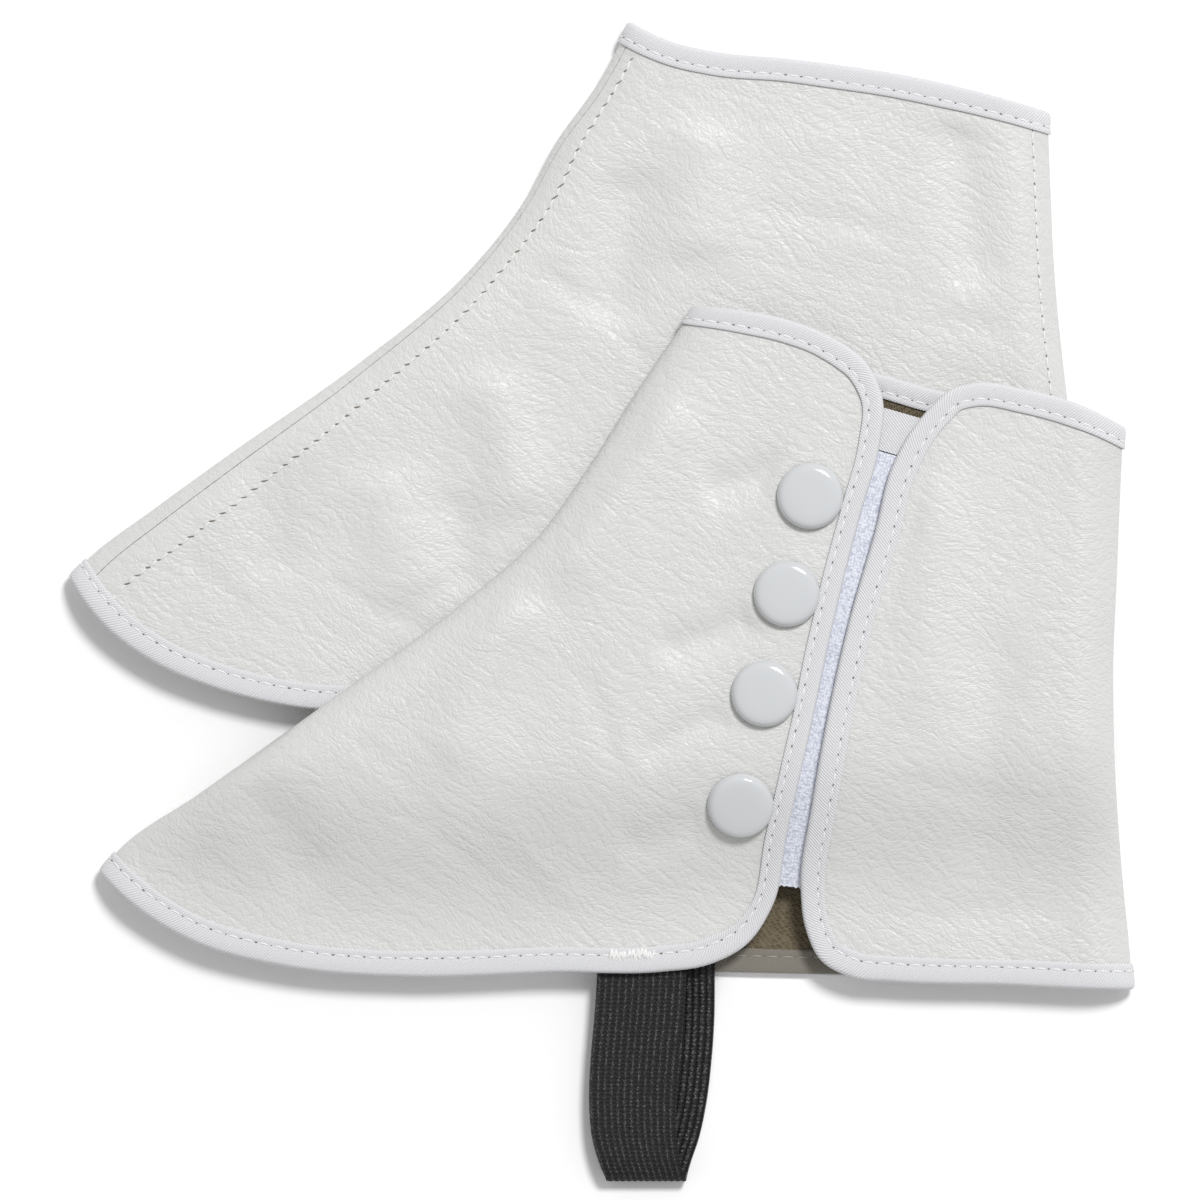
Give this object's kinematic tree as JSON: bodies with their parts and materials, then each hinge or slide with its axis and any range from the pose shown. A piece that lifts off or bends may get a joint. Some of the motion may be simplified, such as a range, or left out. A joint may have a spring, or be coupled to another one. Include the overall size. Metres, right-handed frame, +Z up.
{
  "type": "pair of spats",
  "caption": "Pair of white leatherette spats laid flat and overlapping, with twill binding, buttons down the outer side and an elastic underfoot strap.",
  "frame": {"origin": "middle of the pair's footprint, on the surface it lies on", "axes": "+Z up off the surface, +Y from the straps towards the tops, +X from the toes towards the heels"},
  "size_m": [0.3066, 0.3334, 0.0254],
  "materials": {
    "leatherette": "satin grained white leatherette",
    "twill": "matt white twill tape",
    "enamel": "glossy white cap",
    "knit": "matt white knit tape",
    "elastic": "matt black ribbed elastic"
  },
  "bodies": {
    "root": {"left_front_quarter": "leatherette", "left_inner_panel": "leatherette", "left_heel_quarter": "leatherette", "left_binding": "twill", "left_button_1": "enamel", "left_button_2": "enamel", "left_button_3": "enamel", "left_button_4": "enamel", "left_closure_tape": "knit", "left_tape_tab": "twill", "left_strap": "elastic", "right_front_quarter": "leatherette", "right_inner_panel": "leatherette", "right_heel_quarter": "leatherette", "right_binding": "twill", "right_button_1": "enamel", "right_button_2": "enamel", "right_button_3": "enamel", "right_button_4": "enamel", "right_closure_tape": "knit", "right_tape_tab": "twill", "right_strap": "elastic"}
  },
  "joints": []
}
